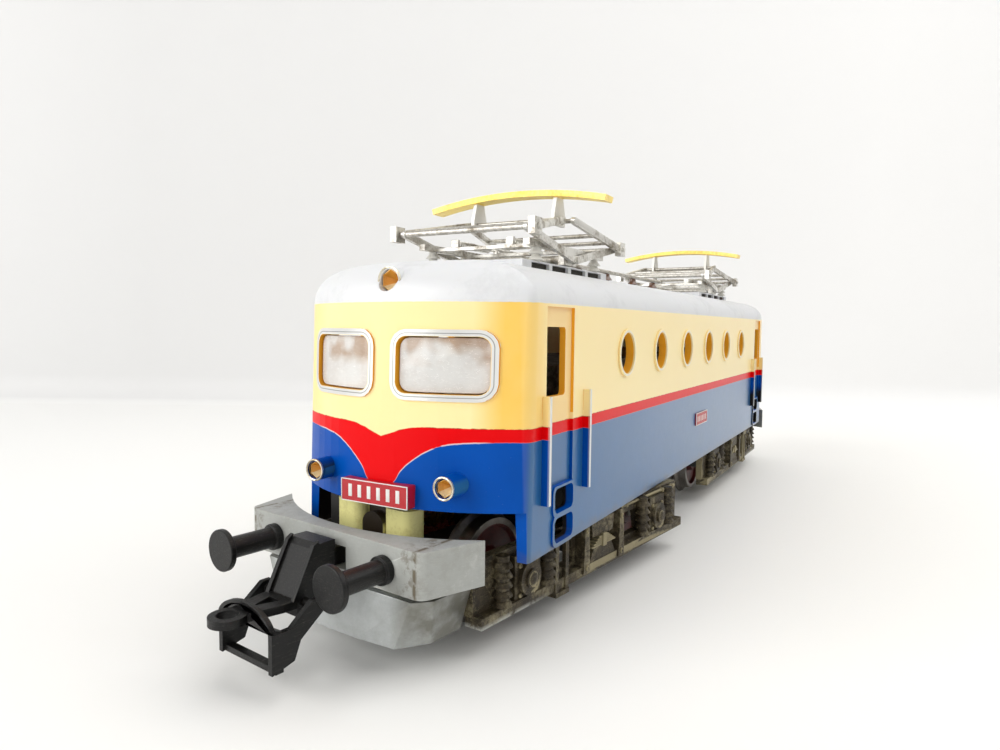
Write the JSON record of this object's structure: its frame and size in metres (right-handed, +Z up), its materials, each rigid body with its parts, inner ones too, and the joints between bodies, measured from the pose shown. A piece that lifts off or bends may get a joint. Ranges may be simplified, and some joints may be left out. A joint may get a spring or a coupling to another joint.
{
  "type": "model electric locomotive",
  "caption": "Four-axle model electric locomotive with two swinging bogies, bowed cabs, portholes, folding pantographs, buffers and drop-bail couplings.",
  "frame": {"origin": "on the track's centreline at mid-length, level with the tips of the wheel flanges", "axes": "+X along the body from the pictured cab towards the other cab, +Z up, +Y to the left when facing +X"},
  "size_m": [0.196, 0.0407, 0.0601],
  "materials": {
    "cream_plastic": "satin moulded plastic, painted in bands",
    "clear_plastic": "clear moulded plastic",
    "reflector_gold": "bright faceted foil",
    "plate_red": "printed red with a white border",
    "black_plastic": "black moulded plastic",
    "zinc_casting": "rough cast weight",
    "board": "brown laminate with wound parts",
    "bulb_glass": "clear bulb in a socket",
    "steel": "bright turned steel",
    "insulator": "glazed brown",
    "nickel": "pressed metal, unevenly tarnished",
    "collector_brass": "polished yellow metal",
    "black_casting": "dark moulded frame",
    "grimy_metal": "grey-brown, grimy",
    "silver_grey": "satin silver-grey",
    "light_grey": "satin light grey plastic",
    "black_steel": "blackened, worn at the edges",
    "wheel_steel": "dark red centre, bright tread",
    "motor_iron": "dark laminated iron and plastic",
    "armature_iron": "laminations and copper windings",
    "gear_brass": "turned brass",
    "cream_bearing": "cream moulded plastic",
    "carbon": "black carbon",
    "gear_plastic": "brown-red moulded plastic"
  },
  "bodies": {
    "body": {"body_shell": "cream_plastic", "front_glazing": "clear_plastic", "rear_glazing": "clear_plastic", "headlight_reflectors": "reflector_gold", "number_plates": "plate_red", "underframe": "black_plastic", "ballast_weight": "zinc_casting", "circuit_board": "board", "lamp_bulbs": "bulb_glass", "shell_screws": "steel", "roof_insulators": "insulator", "roof_busbar": "nickel", "front_pan_base": "nickel", "front_pan_insulators": "insulator", "front_pan_springs": "nickel", "rear_pan_base": "nickel", "rear_pan_insulators": "insulator", "rear_pan_springs": "nickel"},
    "front_bogie": {"front_bogie_frame": "black_casting", "front_side_frames": "grimy_metal", "front_cowl": "silver_grey", "front_buffer_beam": "light_grey", "front_buffers": "black_plastic", "front_king_pin": "steel", "motor_stator": "motor_iron", "shaft_bearings": "cream_bearing", "motor_brushes": "carbon"},
    "rear_bogie": {"rear_bogie_frame": "black_casting", "rear_side_frames": "grimy_metal", "rear_cowl": "silver_grey", "rear_buffer_beam": "light_grey", "rear_buffers": "black_plastic", "rear_king_pin": "steel"},
    "motor_rotor": {"motor_armature": "armature_iron", "worm_gears": "gear_brass"},
    "front_wheelset_outer": {"front_wheels_outer": "wheel_steel", "front_axle_outer": "steel", "worm_wheel_outer": "gear_plastic"},
    "front_wheelset_inner": {"front_wheels_inner": "wheel_steel", "front_axle_inner": "steel", "worm_wheel_inner": "gear_plastic"},
    "front_drawbar_body": {"front_drawbar": "black_steel"},
    "front_bail": {"front_coupler_bail": "black_steel"},
    "rear_wheelset_outer": {"rear_wheels_outer": "wheel_steel", "rear_axle_outer": "steel"},
    "rear_wheelset_inner": {"rear_wheels_inner": "wheel_steel", "rear_axle_inner": "steel"},
    "rear_drawbar_body": {"rear_drawbar": "black_steel"},
    "rear_bail": {"rear_coupler_bail": "black_steel"},
    "front_lower_arm_outer": {"front_pan_lower_arm_outer": "nickel"},
    "front_lower_arm_inner": {"front_pan_lower_arm_inner": "nickel"},
    "front_upper_arm_outer": {"front_pan_upper_arm_outer": "nickel"},
    "front_upper_arm_inner": {"front_pan_upper_arm_inner": "nickel"},
    "front_collector": {"front_pan_collector": "collector_brass"},
    "rear_lower_arm_outer": {"rear_pan_lower_arm_outer": "nickel"},
    "rear_lower_arm_inner": {"rear_pan_lower_arm_inner": "nickel"},
    "rear_upper_arm_outer": {"rear_pan_upper_arm_outer": "nickel"},
    "rear_upper_arm_inner": {"rear_pan_upper_arm_inner": "nickel"},
    "rear_collector": {"rear_pan_collector": "collector_brass"}
  },
  "joints": [
    {"name": "front_bogie_swing", "type": "hinge", "parent": "body", "child": "front_bogie", "pos_m": [-0.0449, 0, 0.023], "axis": [0, 0, 1], "range_deg": [-3.6, 18.4]},
    {"name": "front_wheelset_outer_spin", "type": "hinge", "parent": "front_bogie", "child": "front_wheelset_outer", "pos_m": [-0.06384, 0.00246, 0.0077], "axis": [-0.1288, -0.9917, 0], "continuous": true},
    {"name": "front_wheelset_inner_spin", "type": "hinge", "parent": "front_bogie", "child": "front_wheelset_inner", "pos_m": [-0.02596, -0.00246, 0.0077], "axis": [-0.1288, -0.9917, 0], "continuous": true},
    {"name": "front_drawbar_swing", "type": "hinge", "parent": "front_bogie", "child": "front_drawbar_body", "pos_m": [-0.07882, 0.0044, 0.011], "axis": [0, 0, 1], "range_deg": [-10, 10]},
    {"name": "front_bail_lift", "type": "hinge", "parent": "front_drawbar_body", "child": "front_bail", "pos_m": [-0.08814, 0.00562, 0.0089], "axis": [0.1288, 0.9917, 0], "range_deg": [0, 30]},
    {"name": "rear_bogie_swing", "type": "hinge", "parent": "body", "child": "rear_bogie", "pos_m": [0.0449, 0, 0.023], "axis": [0, 0, 1], "range_deg": [-11, 11]},
    {"name": "rear_wheelset_outer_spin", "type": "hinge", "parent": "rear_bogie", "child": "rear_wheelset_outer", "pos_m": [0.064, 0, 0.0077], "axis": [0, 1, 0], "continuous": true},
    {"name": "rear_wheelset_inner_spin", "type": "hinge", "parent": "rear_bogie", "child": "rear_wheelset_inner", "pos_m": [0.0258, 0, 0.0077], "axis": [0, 1, 0], "continuous": true},
    {"name": "rear_drawbar_swing", "type": "hinge", "parent": "rear_bogie", "child": "rear_drawbar_body", "pos_m": [0.0791, 0, 0.011], "axis": [0, 0, 1], "range_deg": [-10, 10]},
    {"name": "rear_bail_lift", "type": "hinge", "parent": "rear_drawbar_body", "child": "rear_bail", "pos_m": [0.0885, 0, 0.0089], "axis": [0, -1, 0], "range_deg": [0, 30]},
    {"name": "motor_spin", "type": "hinge", "parent": "front_bogie", "child": "motor_rotor", "pos_m": [-0.0449, 0, 0.014], "axis": [-0.9917, 0.1288, 0], "continuous": true},
    {"name": "front_pantograph_raise", "type": "hinge", "parent": "body", "child": "front_lower_arm_outer", "pos_m": [-0.0469, 0, 0.0495], "axis": [0, 1, 0], "range_deg": [0, 50]},
    {"name": "front_inner_arm_raise", "type": "hinge", "parent": "body", "child": "front_lower_arm_inner", "pos_m": [-0.0451, 0, 0.0495], "axis": [0, 1, 0], "range_deg": [-50.5, 0.5]},
    {"name": "front_outer_knee", "type": "hinge", "parent": "front_lower_arm_outer", "child": "front_upper_arm_outer", "pos_m": [-0.0616, 0, 0.05245], "axis": [0, 1, 0], "range_deg": [-100.5, 0.5]},
    {"name": "front_inner_knee", "type": "hinge", "parent": "front_lower_arm_inner", "child": "front_upper_arm_inner", "pos_m": [-0.0304, 0, 0.05245], "axis": [0, 1, 0], "range_deg": [-0.5, 100.5]},
    {"name": "front_collector_level", "type": "hinge", "parent": "front_upper_arm_outer", "child": "front_collector", "pos_m": [-0.0469, 0, 0.0554], "axis": [0, 1, 0], "range_deg": [-0.5, 50.5]},
    {"name": "rear_pantograph_raise", "type": "hinge", "parent": "body", "child": "rear_lower_arm_outer", "pos_m": [0.0469, 0, 0.0495], "axis": [0, -1, 0], "range_deg": [0, 50]},
    {"name": "rear_inner_arm_raise", "type": "hinge", "parent": "body", "child": "rear_lower_arm_inner", "pos_m": [0.0451, 0, 0.0495], "axis": [0, -1, 0], "range_deg": [-50.5, 0.5]},
    {"name": "rear_outer_knee", "type": "hinge", "parent": "rear_lower_arm_outer", "child": "rear_upper_arm_outer", "pos_m": [0.0616, 0, 0.05245], "axis": [0, -1, 0], "range_deg": [-100.5, 0.5]},
    {"name": "rear_inner_knee", "type": "hinge", "parent": "rear_lower_arm_inner", "child": "rear_upper_arm_inner", "pos_m": [0.0304, 0, 0.05245], "axis": [0, -1, 0], "range_deg": [-0.5, 100.5]},
    {"name": "rear_collector_level", "type": "hinge", "parent": "rear_upper_arm_outer", "child": "rear_collector", "pos_m": [0.0469, 0, 0.0554], "axis": [0, -1, 0], "range_deg": [-0.5, 50.5]}
  ],
  "couplings": [
    {"joint": "front_wheelset_outer_spin", "follows": "motor_spin", "ratio": -0.05},
    {"joint": "front_wheelset_inner_spin", "follows": "motor_spin", "ratio": -0.05},
    {"joint": "front_inner_arm_raise", "follows": "front_pantograph_raise", "ratio": -1},
    {"joint": "front_outer_knee", "follows": "front_pantograph_raise", "ratio": -2},
    {"joint": "front_inner_knee", "follows": "front_pantograph_raise", "ratio": 2},
    {"joint": "front_collector_level", "follows": "front_pantograph_raise", "ratio": 1},
    {"joint": "rear_inner_arm_raise", "follows": "rear_pantograph_raise", "ratio": -1},
    {"joint": "rear_outer_knee", "follows": "rear_pantograph_raise", "ratio": -2},
    {"joint": "rear_inner_knee", "follows": "rear_pantograph_raise", "ratio": 2},
    {"joint": "rear_collector_level", "follows": "rear_pantograph_raise", "ratio": 1}
  ]
}
